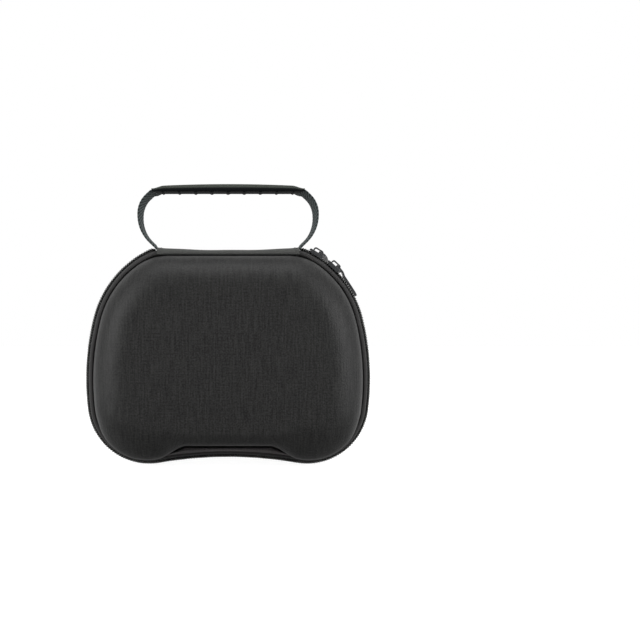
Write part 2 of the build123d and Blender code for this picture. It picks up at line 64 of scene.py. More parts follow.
# Outline
HALF_WIDTH, TOP = 92.5, 141.0
SIDE_RADIUS, LOBE_RADIUS, CORNER_RADIUS, SHOULDER_RADIUS = 165.1, 40.2, 67.3, 20.0
WIDEST, CORNER_Z, DIP_RISE = 55.4, 78.8, 4.36
# Shells
HALF_DEPTH, WALL, RIM_DEPTH, FLANGE_INSET = 36.0, 3.7, 6.0, 4.9
BULGE_DEPTH, BULGE_INSET, BULGE_SHOULDER = 12.4, 6.3, 40.0
BULGE_DRAFT, BULGE_ROUNDING = radians(8.0), 22.0
NOTCH_Z, NOTCH_SLOPE, NOTCH_CORNER = 12.8, radians(20.0), 8.0
# Zip and spine
COIL_HEIGHT, PITCH, TAPE_GAP = 2.0, 1.67, 0.02
SPINE_END, SPINE_EDGE_Z, SPINE_EDGE_DEPTH = 45.6, 135.2, 14.4


def side_point(radius, z):
    """Centre of a circle of this radius that touches the side arc from inside."""
    reach = SIDE_RADIUS - radius
    return HALF_WIDTH - SIDE_RADIUS + sqrt(reach**2 - (z - WIDEST) ** 2), z


SIDE_CENTRE = (HALF_WIDTH - SIDE_RADIUS, WIDEST)
LOBE_CENTRE = side_point(LOBE_RADIUS, LOBE_RADIUS)
CORNER_CENTRE = side_point(CORNER_RADIUS, CORNER_Z)
DIP_RADIUS = (LOBE_CENTRE[0] ** 2 - 2 * LOBE_RADIUS * DIP_RISE + DIP_RISE**2) / (2 * DIP_RISE)
DIP_CENTRE = (0.0, DIP_RISE - DIP_RADIUS)


def shoulder_centre(radius):
    """Centre of a circle of this radius that touches the top and the corner's arc."""
    z = TOP - radius
    return CORNER_CENTRE[0] + sqrt((CORNER_RADIUS - radius) ** 2 - (z - CORNER_Z) ** 2), z


def heading(a, b):
    return atan2(b[1] - a[1], b[0] - a[0])


def arc(centre, radius, start, end, count):
    """Points on an arc, without its last one."""
    angles = [start + (end - start) * k / count for k in range(count)]
    return [(centre[0] + radius * cos(t), centre[1] + radius * sin(t), t) for t in angles]


def notch(inset, foot, outward):
    """From the lobe's foot up the slope of the notch, round its corner and on to the middle."""
    corner = NOTCH_CORNER + inset - BULGE_INSET
    roof = NOTCH_Z + inset - BULGE_INSET
    run = (roof - foot[1]) / tan(NOTCH_SLOPE)
    turn = (foot[0] - run - corner * tan(NOTCH_SLOPE / 2), roof - corner)
    rise = (turn[0] + corner * sin(NOTCH_SLOPE) - foot[0],
            turn[1] + corner * cos(NOTCH_SLOPE) - foot[1])
    points = [(foot[0] + rise[0] * k / 10, foot[1] + rise[1] * k / 10, outward)
              for k in range(10)]
    points += turned_over(arc(turn, corner, pi / 2 - NOTCH_SLOPE, pi / 2, 10))
    return points + [(turn[0] * (1 - k / 14), roof, -pi / 2) for k in range(15)]


def turned_over(points):
    """The same places with the outward side on the inside of their arc."""
    return [(x, z, t - pi) for x, z, t in points]


def right_half(inset, notched=False):
    """Points (x, z, outward angle) from the middle of the top to the middle of the bottom."""
    shoulder = BULGE_SHOULDER if notched else SHOULDER_RADIUS
    top = shoulder_centre(shoulder)
    to_shoulder = heading(CORNER_CENTRE, top)
    to_corner = heading(SIDE_CENTRE, CORNER_CENTRE)
    to_lobe = heading(SIDE_CENTRE, LOBE_CENTRE)
    points = [(top[0] * k / 14, TOP - inset, pi / 2) for k in range(14)]
    points += arc(top, shoulder - inset, pi / 2, to_shoulder, 14)
    points += arc(CORNER_CENTRE, CORNER_RADIUS - inset, to_shoulder, to_corner, 26)
    points += arc(SIDE_CENTRE, SIDE_RADIUS - inset, to_corner, to_lobe, 20)
    radius = LOBE_RADIUS - inset
    if notched:
        to_slope = -pi / 2 - NOTCH_SLOPE
        foot = (LOBE_CENTRE[0] + radius * cos(to_slope),
                LOBE_CENTRE[1] + radius * sin(to_slope))
        points += arc(LOBE_CENTRE, radius, to_lobe, to_slope, 40)
        return points + notch(inset, foot, to_slope)
    to_dip, from_dip = heading(LOBE_CENTRE, DIP_CENTRE), heading(DIP_CENTRE, LOBE_CENTRE)
    points += arc(LOBE_CENTRE, radius, to_lobe, to_dip, 40)
    points += turned_over(arc(DIP_CENTRE, DIP_RADIUS + inset, from_dip, pi / 2, 34))
    return points + [(0.0, DIP_CENTRE[1] + DIP_RADIUS + inset, -pi / 2)]


def whole_loop(inset, notched=False):
    """The closed outline: right half down, left half back up."""
    right = right_half(inset, notched)
    left = [(-x, z, pi - t) for x, z, t in reversed(right[1:-1])]
    return np.array(right + left)


def run_lengths(points):
    """Length along a line of points, from its first one."""
    steps = np.linalg.norm(np.diff(points, axis=0), axis=1)
    return np.concatenate([[0], np.cumsum(steps)])


def even_steps(line, run, step):
    """A line's columns at even steps of its run, which is put last."""
    at = np.linspace(run[0], run[-1], ceil((run[-1] - run[0]) / step) + 1)
    return np.stack([np.interp(at, run, column) for column in line.T] + [at], axis=1)


def zip_path(step, start_x):
    """The zip's crest from this x on the right, round the bottom, to the same on the left:
    x, z, the outward direction's x and z, and the length."""
    outline = np.array(right_half(0.0))
    x, z, angle, s = even_steps(outline, run_lengths(outline[:, :2]), 0.25).T
    right = np.stack([x, z, np.cos(angle), np.sin(angle), s], axis=1)
    right = right[np.argmax(x >= start_x):]
    right = even_steps(right[:, :4], right[:, 4], step)
    left = right[-2::-1].copy()
    left[:, 0] *= -1
    left[:, 2] *= -1
    left[:, 4] = 2 * right[-1, 4] - left[:, 4]
    path = np.concatenate([right, left])
    path[:, 4] -= path[0, 4]
    return path


def side_sign(side):
    """The lid lies at negative Y and the base at positive Y."""
    return -1.0 if side == "lid" else 1.0


def joined(x, y, z):
    """Points from coordinates, any of which may be one number."""
    return np.stack(np.broadcast_arrays(x, y, z), axis=1)


def unit(vectors):
    return vectors / np.linalg.norm(vectors, axis=-1, keepdims=True)


def ramp(value, low, high):
    """Rises smoothly from 0 at low to 1 at high."""
    share = np.clip((value - low) / (high - low), 0.0, 1.0)
    return share * share * (3 - 2 * share)


# Meshes

def placed(name, data):
    """A new object in the scene."""
    made = bpy.data.objects.new(name, data)
    bpy.context.scene.collection.objects.link(made)
    return made


def mesh_object(name, points, faces, face_uvs=None):
    """Mesh from points in millimetres, with texture coordinates in millimetres."""
    mesh = bpy.data.meshes.new(name)
    mesh.from_pydata((np.asarray(points, float) * MM).tolist(), [], faces)
    if face_uvs is not None:
        layer = mesh.uv_layers.new(name="mm")
        layer.data.foreach_set("uv", np.asarray(face_uvs, np.float32).ravel())
    mesh.polygons.foreach_set("use_smooth", [True] * len(mesh.polygons))
    shape = bmesh.new()
    shape.from_mesh(mesh)
    bmesh.ops.recalc_face_normals(shape, faces=shape.faces)
    shape.to_mesh(mesh)
    shape.free()
    return placed(name, mesh)


def grid(rows, uvs, ring=False, tube=False):
    """Points, quads and texture corners of a grid of rows. A ring closes each row on itself and
    a tube closes the last row on the first; the texture has one more column or row for that."""
    rows, uvs = np.asarray(rows, float), np.asarray(uvs, float)
    high, wide = rows.shape[:2]
    faces, corners = [], []
    for v in range(high if tube else high - 1):
        for u in range(wide if ring else wide - 1):
            for a, b in ((v, u), (v, u + 1), (v + 1, u + 1), (v + 1, u)):
                corners.append(uvs[a, b])
            after, beside = (v + 1) % high, (u + 1) % wide
            faces.append([v * wide + u, v * wide + beside, after * wide + beside,
                          after * wide + u])
    return rows.reshape(-1, 3), faces, corners


def capped(rows, uvs):
    """A tube's grid, with a flat face at each end."""
    points, faces, corners = grid(rows, uvs, tube=True)
    high, wide = np.shape(rows)[:2]
    for end in (0, wide - 1):
        faces.append([v * wide + end for v in range(high)])
        corners += [(0.0, 0.0)] * high
    return points, faces, corners


def roofed(rows, uvs):
    """A ring's grid, with its last row closed by one face."""
    points, faces, corners = grid(rows, uvs, ring=True)
    wide = np.shape(rows)[1]
    faces.append([(len(rows) - 1) * wide + k for k in range(wide)])
    return points, faces, corners + list(np.asarray(uvs)[-1, :wide])


def sweep_round(name, section, side, path, stray=0.0):
    """A closed strip along the zip path, from its section's (depth, inset) points. Stray is an
    inset to add at each point of the path."""
    section = np.array(section)
    x, z, across_x, across_z, s = path.T
    rows = [joined(x - (inset + stray) * across_x, side_sign(side) * depth,
                   z - (inset + stray) * across_z) for depth, inset in section]
    girth = run_lengths(np.concatenate([section, section[:1]]))
    uvs = [np.stack([s, np.full(len(s), length)], axis=1) for length in girth]
    return mesh_object(name, *capped(rows, uvs))


def flat_section(half_width, half_thick, count, edge_power, face_power):
    """Points (across, through) round the section of a band with rounded edges."""
    turns = [2 * pi * k / count for k in range(count)]
    return [(half_width * np.sign(cos(t)) * abs(cos(t)) ** edge_power,
             half_thick * np.sign(sin(t)) * abs(sin(t)) ** face_power) for t in turns]


def band_object(name, rows, run, section):
    """A band from its rows, with its length and width as texture coordinates."""
    uvs = [[(s, point[0]) for s in run] for point in section + section[:1]]
    return mesh_object(name, *capped(rows, uvs))


def soften(piece, width):
    """Rounds the piece's sharp edges."""
    bevel = piece.modifiers.new("soft", "BEVEL")
    bevel.width, bevel.segments, bevel.limit_method = width * MM, 2, "ANGLE"
    bevel.angle_limit = radians(35)


def dress(piece, body, material):
    """Gives a piece its material, and the body that it rides on."""
    piece.data.materials.append(material)
    if body:
        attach(piece, body)
    return piece


# Materials

class Tree:
    """A node tree, with short ways to chain maths."""

    def __init__(self, tree):
        self.tree = tree

    def node(self, kind, **settings):
        made = self.tree.nodes.new(kind)
        for key, value in settings.items():
            setattr(made, key, value)
        return made

    def feed(self, value, socket):
        if isinstance(value, (int, float, tuple)):
            socket.default_value = value
        else:
            self.tree.links.new(value, socket)

    def maths(self, operation, *values):
        made = self.node("ShaderNodeMath", operation=operation)
        for value, socket in zip(values, made.inputs):
            self.feed(value, socket)
        return made.outputs[0]

    def map(self, value, low, high, to_low=0.0, to_high=1.0):
        made = self.node("ShaderNodeMapRange")
        for place, item in enumerate((value, low, high, to_low, to_high)):
            self.feed(item, made.inputs[place])
        return made.outputs[0]

    def sum(self, *parts):
        """Sum of (weight, value) parts."""
        total = 0.0
        for weight, value in parts:
            total = self.maths("MULTIPLY_ADD", value, weight, total)
        return total


class Graph(Tree):
    """A material's nodes."""

    def __init__(self, name, colour, roughness, **sockets):
        self.material = bpy.data.materials.new(name)
        self.material.use_nodes = True
        super().__init__(self.material.node_tree)
        self.shader = self.tree.nodes["Principled BSDF"]
        self.shader.inputs["Base Color"].default_value = (*colour, 1)
        self.shader.inputs["Roughness"].default_value = roughness
        for socket, value in sockets.items():
            self.shader.inputs[socket.replace("_", " ")].default_value = value

    def uv(self):
        """Texture coordinates in millimetres: the vector, and along and across."""
        made = self.node("ShaderNodeUVMap", uv_map="mm")
        split = self.node("ShaderNodeSeparateXYZ")
        self.feed(made.outputs[0], split.inputs[0])
        return made.outputs[0], split.outputs[0], split.outputs[1]

    def scaled(self, vector, scale):
        mapping = self.node("ShaderNodeMapping")
        mapping.inputs["Scale"].default_value = scale
        self.feed(vector, mapping.inputs[0])
        return mapping.outputs[0]

    def place(self):
        """Object coordinates in millimetres."""
        made = self.node("ShaderNodeTexCoord")
        return self.scaled(made.outputs["Object"], (1 / MM, 1 / MM, 1 / MM))

    def noise(self, vector, scale, detail=2.0, roughness=0.5):
        made = self.node("ShaderNodeTexNoise")
        self.feed(vector, made.inputs["Vector"])
        for socket, value in (("Scale", scale), ("Detail", detail), ("Roughness", roughness)):
            made.inputs[socket].default_value = value
        return made.outputs[0]

    def wave(self, value, period):
        """Half sine arches."""
        turned = self.maths("MULTIPLY", value, pi / period)
        return self.maths("ABSOLUTE", self.maths("SINE", turned))

    def mix(self, share, dark, light):
        made = self.node("ShaderNodeMix", data_type="RGBA")
        self.feed(share, made.inputs["Factor"])
        for socket, colour in (("A", dark), ("B", light)):
            colour = (*colour, 1) if isinstance(colour, tuple) else colour
            self.feed(colour, made.inputs[socket])
        return made.outputs["Result"]

    def colour(self, share, dark, light):
        self.feed(self.mix(share, dark, light), self.shader.inputs["Base Color"])

    def bump(self, height, distance, strength=1.0):
        """Bumps this many millimetres high, on top of those already there."""
        made = self.node("ShaderNodeBump")
        made.inputs["Strength"].default_value = strength
        made.inputs["Distance"].default_value = distance * MM
        self.feed(height, made.inputs["Height"])
        normal = self.shader.inputs["Normal"]
        if normal.links:
            self.feed(normal.links[0].from_socket, made.inputs["Normal"])
        self.feed(made.outputs[0], normal)


def plain_weave(g, u, v, warp, weft):
    """Height of a plain weave with these yarn pitches."""
    warp_yarn, weft_yarn = g.wave(u, warp), g.wave(v, weft)
    sign = g.maths("MULTIPLY", g.maths("SINE", g.maths("MULTIPLY", u, pi / warp)),
                   g.maths("SINE", g.maths("MULTIPLY", v, pi / weft)))
    over = g.maths("GREATER_THAN", sign, 0.0)
    return g.maths("ADD", g.maths("MULTIPLY", over, warp_yarn),
                   g.maths("MULTIPLY", g.maths("SUBTRACT", 1.0, over), weft_yarn))


def shades(colour, low, high):
    """A darker and a lighter share of a colour."""
    return tuple(c * low for c in colour), tuple(c * high for c in colour)


def shell_cloth():
    """Fine woven nylon with slubby upright yarns, bonded to the shell."""
    colour = (0.0072, 0.0072, 0.007)
    g = Graph("shell_nylon", colour, 0.46, Specular_IOR_Level=0.14)
    vector, u, v = g.uv()
    weave = plain_weave(g, u, v, 0.6, 0.55)
    slubs = g.noise(g.scaled(vector, (1.0, 0.07, 1)), 1.0, 2.0, 0.6)
    picks = g.noise(g.scaled(vector, (0.1, 0.95, 1)), 1.0, 2.0, 0.55)
    grain = g.noise(vector, 0.95, 2.0, 0.65)
    cloud = g.noise(vector, 0.03)
    # The weave's small share darkens the weave's hollows: painted shade. The rest is random
    # yarn tone.
    tone = g.sum((0.4, slubs), (0.55, grain), (0.15, picks), (0.06, weave), (0.06, cloud))
    g.colour(g.map(tone, 0.5, 0.74), *shades(colour, 0.12, 2.1))
    g.bump(weave, 0.05, 0.5)
    g.bump(g.maths("ADD", slubs, grain), 0.22, 0.8)
    return g.material


def ribbed_cloth(name, colour, pitch, across="v"):
    """Grosgrain: fine ribs square to the tape, with thread noise."""
    g = Graph(name, colour, 0.6, Specular_IOR_Level=0.12)
    vector, u, v = g.uv()
    along, athwart = (u, v) if across == "v" else (v, u)
    ribs = g.wave(along, pitch)
    threads = g.wave(athwart, 0.35)
    # The colour is darker in the grooves between the ribs and paler on their crests: painted
    # shade and highlight, with random thread tone.
    tone = g.sum((0.55, ribs), (0.5, g.noise(vector, 1.3)))
    g.colour(g.map(tone, 0.2, 0.85), *shades(colour, 0.55, 1.35))
    g.bump(g.sum((1.0, ribs), (0.35, threads)), 0.12, 0.8)
    return g.material


def twill_cloth(name, colour, pitch, slant, specular=0.1, depth=0.16, contrast=(0.45, 1.5)):
    """Diagonal ribs, such as webbing or a zip's tape has."""
    g = Graph(name, colour, 0.6, Specular_IOR_Level=specular)
    vector, u, v = g.uv()
    ribs = g.wave(g.sum((1.0, u), (slant, v)), pitch)
    # The colour is darker in the grooves between the ribs and paler on their crests: painted
    # shade and highlight, with random yarn tone.
    tone = g.sum((0.85, ribs), (0.2, g.noise(vector, 0.8)))
    g.colour(g.map(tone, 0.25, 0.95), *shades(colour, *contrast))
    g.bump(ribs, depth, 0.9)
    return g.material


def pile_cloth():
    """Short soft pile of the lining."""
    colour = (0.028, 0.028, 0.03)
    g = Graph("lining_pile", colour, 0.9, Sheen_Weight=0.12, Sheen_Roughness=0.5,
              Specular_IOR_Level=0.1)
    fluff = g.noise(g.place(), 1.4, 4.0, 0.7)
    brushed = g.noise(g.place(), 0.06)
    tone = g.sum((0.6, fluff), (0.5, brushed))
    g.colour(g.map(tone, 0.35, 0.75), *shades(colour, 0.6, 1.5))
    g.bump(fluff, 0.25, 0.6)
    return g.material


def plastic(name, colour, roughness, grain, depth, specular):
    """Moulded plastic or rubber with a fine grain and slight handling marks."""
    g = Graph(name, colour, roughness, Specular_IOR_Level=specular)
    fine = g.noise(g.place(), grain, 3.0, 0.6)
    marks = g.noise(g.place(), 0.12, 3.0)
    g.colour(g.map(marks, 0.35, 0.7), *shades(colour, 0.85, 1.15))
    g.feed(g.map(marks, 0.3, 0.7, roughness - 0.06, roughness + 0.08),
           g.shader.inputs["Roughness"])
    g.bump(fine, depth, 0.5)
    return g.material


def lacquer():
    """Black lacquer on die-cast metal, rubbed paler in soft patches."""
    colour, rubbed = (0.01, 0.011, 0.012), (0.05, 0.053, 0.055)
    g = Graph("slider_lacquer", colour, 0.3, Specular_IOR_Level=0.35)
    wear = g.noise(g.place(), 2.2, 3.0, 0.6)
    g.colour(g.map(wear, 0.56, 0.72), colour, rubbed)
    g.feed(g.map(wear, 0.3, 0.7, 0.27, 0.4), g.shader.inputs["Roughness"])
    g.bump(wear, 0.01, 0.4)
    return g.material


GRIP_GIRTH_STEP, GRIP_TOP_MIDDLE = 0.9, 7.2


def grip_skin():
    """Satin rubber with painted light and shade: the arched top is painted greyer, as lit, and
    the ribbed underside darker, as shaded.
    """
    # Painted light and shade: top is the lit colour and under is the shaded colour of one
    # rubber.
    top, under = (0.036, 0.04, 0.035), (0.006, 0.0065, 0.007)
    g = Graph("grip_rubber_painted_shade", under, 0.6, Specular_IOR_Level=0.01)
    girth = g.uv()[2]
    from_top = g.maths("ABSOLUTE", g.maths("SUBTRACT", girth, GRIP_TOP_MIDDLE))
    fine = g.noise(g.place(), 2.6, 3.0, 0.6)
    g.colour(g.map(from_top, 5.9, 7.0), g.mix(fine, *shades(top, 0.8, 1.2)), under)
    g.bump(fine, 0.05, 0.5)
    return g.material


def thread():
    """Twisted sewing thread."""
    colour = (0.03, 0.03, 0.031)
    g = Graph("thread", colour, 0.5, Specular_IOR_Level=0.2)
    twist = g.noise(g.place(), 5.0, 1.0)
    g.colour(twist, *shades(colour, 0.6, 1.4))
    g.bump(twist, 0.03, 0.6)
    return g.material


nylon = shell_cloth()
grosgrain = ribbed_cloth("binding_grosgrain", (0.016, 0.0155, 0.0155), 0.85)
# A far paler copy of the band's grosgrain for the notch apron: painted light.
apron_painted_light_cloth = ribbed_cloth("apron_grosgrain_painted_light", (0.085, 0.08, 0.081), 0.95)
cover_cloth = ribbed_cloth("spine_grosgrain", (0.034, 0.035, 0.033), 0.6, across="u")
tape_cloth = twill_cloth("zip_tape", (0.006, 0.006, 0.006), 0.9, 1.0, specular=0.04)
# Strong contrast: much painted shade in the grooves and painted highlight on the ribs.
web_cloth = twill_cloth("webbing", (0.015, 0.0185, 0.0185), 2.4, 0.6, depth=0.3,
                        contrast=(0.15, 2.9))
elastic = ribbed_cloth("elastic", (0.016, 0.016, 0.017), 1.1, across="u")
pile = pile_cloth()
net_yarn = ribbed_cloth("net_yarn", (0.03, 0.03, 0.032), 0.5)
coil_nylon = plastic("coil_nylon", (0.055, 0.056, 0.053), 0.26, 2.5, 0.02, 0.5)
grip_rubber_painted_shade = grip_skin()
# The ribs take the underside's painted shade colour.
rib_rubber_painted_shade = plastic("rib_rubber_painted_shade", (0.006, 0.0065, 0.007), 0.6, 2.6, 0.03, 0.01)
slider_metal = lacquer()
sewing = thread()


# Shells

PROFILE_STEPS = 18
BELLY_SINK, CROWN, FACE_CENTRE, FACE_RINGS = 2.6, 0.5, np.array((0.0, 74.0)), 14
NOTCH_TIGHTER, NOTCH_FADE, LOWER_HALF = 13.0, (24.0, 42.0), 60.0
BELLY_X, BELLY_Z, BELLY_GROWS, BELLY_FADES = (28.0, 44.0), (18.0, 32.0), 16.5, (20.0, 34.0)


def bulge_profile(inset, depth, rounding):
    """(inset, depth) from the root of a bulge, up its wall and round to its face."""
    centre_depth = depth - rounding
    centre = (inset + (centre_depth - BULGE_DEPTH) * tan(BULGE_DRAFT)
              + rounding / cos(BULGE_DRAFT))
    wall = (centre - rounding * cos(BULGE_DRAFT) - inset,
            centre_depth + rounding * sin(BULGE_DRAFT) - BULGE_DEPTH)
    profile = [(inset + wall[0] * k / 4, BULGE_DEPTH + wall[1] * k / 4) for k in range(4)]
    for t in np.linspace(BULGE_DRAFT, pi / 2, PROFILE_STEPS + 1):
        profile.append((centre - rounding * cos(t), centre_depth + rounding * sin(t)))
    return profile


def belly(loop, depth):
    """How far the shell's soft cloth hangs below the moulded lobes."""
    x, z = loop[:, 0], loop[:, 1]
    return (BELLY_SINK * ramp(np.abs(x), *BELLY_X) * (1 - ramp(z, *BELLY_Z))
            * ramp(depth, BULGE_DEPTH, BELLY_GROWS) * (1 - ramp(depth, *BELLY_FADES)))


def notch_share(loop):
    """Each point's share in the tighter rounding over the notch."""
    share = (1 - ramp(np.abs(loop[:, 0]), *NOTCH_FADE)) * (loop[:, 1] < LOWER_HALF)
    return share[:, None]


def between(inset, tight_inset, share):
    """The notched loop at one inset, moved by its share towards that at another."""
    loop = whole_loop(inset, True)
    loop[:, :2] += (whole_loop(tight_inset, True)[:, :2] - loop[:, :2]) * share
    return loop


def skin(name, side, rim, inset, depth, rounding, soft):
    """One surface of a shell: its flat rim first, then the bulge, then rings over its face.
    The soft one is rounded tighter over the notch and sags at its lobes."""
    profile = bulge_profile(inset, depth, rounding)
    tight = bulge_profile(inset, depth, rounding - NOTCH_TIGHTER)
    share = notch_share(whole_loop(inset, True)) * soft
    flat = between(profile[-1][0], tight[-1][0], share)
    normal = np.stack([np.cos(flat[:, 2]), np.sin(flat[:, 2])], axis=1)
    run = run_lengths(profile)
    to_face = run[-1] - run
    rows, uvs = [], []
    for rim_inset, rim_depth in rim:
        loop = whole_loop(rim_inset)
        rows.append(joined(loop[:, 0], rim_depth, loop[:, 1]))
        uvs.append(flat[:, :2] + normal * (to_face[0] + abs(BULGE_DEPTH - rim_depth) + 1.4))
    for wide, near, length in zip(profile, tight, to_face):
        loop = between(wide[0], near[0], share)
        lift = CROWN * ramp(wide[1], BULGE_DEPTH + 4, depth)
        out = wide[1] - lift + (near[1] - wide[1]) * share[:, 0]
        rows.append(joined(loop[:, 0], out, loop[:, 1] - soft * belly(loop, wide[1])))
        uvs.append(flat[:, :2] + normal * length)
    for k in range(1, FACE_RINGS + 1):
        reach = 1 - k / FACE_RINGS
        place = FACE_CENTRE + (flat[:, :2] - FACE_CENTRE) * max(reach, 0.004)
        rows.append(joined(place[:, 0], depth - CROWN * reach**2, place[:, 1]))
        uvs.append(place)
    rows, uvs = np.array(rows), np.array(uvs)
    rows[:, :, 1] *= side_sign(side)
    uvs = np.concatenate([uvs, uvs[:, :1]], axis=1)
    return mesh_object(name, *roofed(rows, uvs))


def shell(side):
    """A moulded shell: its fabric outside and its lining inside."""
    lining_inset = BULGE_INSET + WALL
    outer_rim = [(lining_inset, RIM_DEPTH), (FLANGE_INSET, RIM_DEPTH),
                 (FLANGE_INSET, BULGE_DEPTH)]
    outside = skin(side + "_shell_skin", side, outer_rim, BULGE_INSET, HALF_DEPTH,
                   BULGE_ROUNDING, True)
    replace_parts(dress(outside, side, nylon), side + "_shell")
    inner_rim = [(lining_inset, RIM_DEPTH), (lining_inset, BULGE_DEPTH - 0.4)]
    inside = skin(side + "_shell_lining", side, inner_rim, lining_inset, HALF_DEPTH - WALL,
                  BULGE_ROUNDING - WALL, False)
    dress(inside, side, pile)


# Zip, bands and bindings, in sections of (depth, inset)

TAPE_THICK, TAPE_BEND, TAPE_FOOT, TAPE_END, FIT = 0.6, 4.6, 6.8, 11.0, 0.1
TAPE_SEAT = FLANGE_INSET - FIT - TAPE_THICK
TAPE_START, BAND_START, COIL_START = SPINE_END + 0.1, SPINE_END + 0.6, SPINE_END + 0.7
BAND_EDGE, BINDING_NEAR, BINDING_FAR, BINDING_THICK = 13.0, 5.3, 12.2, 0.6
APRON_INSETS, APRON_DEPTH, APRON_SWELL = (BULGE_INSET - 1.1, BULGE_INSET - 1.2), 12.7, 1.5


def wander(path, size, waves):
    """A slow waver along a path, the same on each run."""
    s = path[:, 4]
    return sum(size / (k + 1) * np.sin(s / length + k * 1.7) for k, length in enumerate(waves))


def zip_tape(side):
    """The tape lies flat under the coil, and steps down on to the flange."""
    path = zip_path(1.2, TAPE_START)
    outer = [(TAPE_GAP, COIL_HEIGHT), (TAPE_BEND - 0.6, COIL_HEIGHT),
             (TAPE_BEND, COIL_HEIGHT + 0.15), (TAPE_FOOT - 0.3, TAPE_SEAT - 0.25),
             (TAPE_FOOT + 0.4, TAPE_SEAT), (TAPE_END, TAPE_SEAT)]
    section = outer + [(depth, inset + TAPE_THICK) for depth, inset in reversed(outer)]
    tape = sweep_round(side + "_zip_tape_cloth", section, side, path)
    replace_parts(dress(tape, side, tape_cloth), side + "_zip_tape")


def band_section():
    """Piped band: a round crest, and a flat back on the flange."""
    foot, edge = (TAPE_FOOT + 0.5, 4.1), (BAND_EDGE, 5.2)
    points = []
    for t in np.linspace(0, pi, 13):
        across = (1 - cos(t)) / 2
        points.append((foot[0] + (edge[0] - foot[0]) * across,
                       foot[1] + (edge[1] - foot[1]) * across - 1.6 * sin(t) ** 0.8))
    return points + [(BAND_EDGE, 6.1), (12.5, 6.1), (12.5, 4.8), (11.1, 4.8), (11.1, 4.1)]


def apron(side):
    """The band's cloth, spread over the flange in the notch, in a far paler copy of the band's
    grosgrain: painted light against the shade under the bulge.
    """
    low, high = whole_loop(APRON_INSETS[0]), whole_loop(APRON_INSETS[1], True)
    wide = (np.abs(high[:, 0]) < 60) & (high[:, 1] < 40) & (high[:, 1] - low[:, 1] > 0.25)
    low, high = low[wide], high[wide]
    rows, uvs = [], []
    for share in np.linspace(0, 1, 9):
        x, z = (low + (high - low) * share)[:, :2].T
        depth = APRON_DEPTH + APRON_SWELL * sin(pi * (0.12 + 0.84 * share))
        rows.append(joined(x, side_sign(side) * depth, z))
        uvs.append(np.stack([x, z], axis=1))
    piece = mesh_object(side + "_notch_apron", *grid(rows, uvs))
    dress(piece, side, apron_painted_light_cloth)


def side_band(side):
    """The piped band, with the slight waver of sewn cloth."""
    path = zip_path(0.8, BAND_START)
    band = sweep_round(side + "_side_band_cloth", band_section(), side, path,
                       wander(path, 0.07, (9.0, 5.3, 2.9)))
    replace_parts(dress(band, side, grosgrain), side + "_side_band")


def inner_binding(side):
    """Cloth folded over the rim, inside the shell and across its edge."""
    path = zip_path(1.2, BAND_START)
    edge, leaf = BINDING_NEAR + BINDING_THICK, 10.7 - BINDING_THICK
    section = [(BINDING_NEAR, 5.4), (BINDING_NEAR, 10.7), (BINDING_FAR, 10.7),
               (BINDING_FAR, leaf), (edge, leaf), (edge, 5.4)]
    binding = sweep_round(side + "_inner_binding_cloth", section, side, path,
                          wander(path, 0.06, (8.0, 4.1)))
    soften(binding, 0.22)
    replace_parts(dress(binding, side, grosgrain), side + "_inner_binding")


SKEW = (0.31, 0.9, 0.22)


def tube(line, radius, sides=6):
    """Rows round a centre line that never runs along the skew."""
    ahead = unit(np.gradient(line, axis=0))
    across = unit(np.cross(ahead, SKEW))
    other = np.cross(ahead, across)
    radius = np.reshape(radius, (-1, 1))
    return [line + radius * (across * cos(t) + other * sin(t))
            for t in (2 * pi * k / sides for k in range(sides))]


class Pile:
    """Many small tubes gathered into one mesh."""

    def __init__(self):
        self.points, self.faces, self.corners, self.count = [], [], [], 0

    def add(self, rows):
        high, wide = np.shape(rows)[:2]
        v, u = np.meshgrid(np.arange(high + 1), np.arange(wide), indexing="ij")
        points, faces, corners = capped(rows, np.stack([u * 0.4, v * 0.3], axis=2))
        self.points.append(points)
        self.faces += [[k + self.count for k in face] for face in faces]
        self.corners += corners
        self.count += len(points)

    def make(self, name):
        return mesh_object(name, np.concatenate(self.points), self.faces, self.corners)


def at_path(path, s, depth, inset, side):
    """Points at these lengths along the zip path."""
    x, z, nx, nz = (np.interp(s, path[:, 4], path[:, k]) for k in range(4))
    return joined(x - inset * nx, side_sign(side) * depth, z - inset * nz)


COIL_TURN, COIL_WIRE, COIL_CENTRE, COIL_LIFT = 16, 0.46, (1.78, 0.86), 0.68
COIL_SPREAD, COIL_LEAN, COIL_CORE = 1.3, 0.16, 0.75
COIL_FIRST = {"lid": 0.3, "base": 0.8}
SLIDER_TURNS, MOUTH_HALF = (31.6, 43.4), 4.1
ZIP_SEAMS = ((COIL_CENTRE[0] - 0.1, 0.2), (3.9, 1.95))
STITCH_SWELL = np.array([0.45, 0.95, 1.0, 0.95, 0.45])
# Pitch, gap and radius of the stitches
ZIP_STITCH, COVER_STITCH, PATCH_STITCH = (1.9, 0.5, 0.16), (2.4, 0.6, 0.19), (2.3, 0.5, 0.17)


def slider_gap(path, s):
    """True where a length along the path lies in a slider's gap."""
    crest = at_path(path, s, 0.0, 0.0, "base")
    away = [np.hypot(crest[:, 0] - CORNER_CENTRE[0] - CORNER_RADIUS * sin(turn),
                     crest[:, 2] - CORNER_CENTRE[1] - CORNER_RADIUS * cos(turn))
            for turn in np.radians(SLIDER_TURNS)]
    return np.min(away, axis=0) < MOUTH_HALF


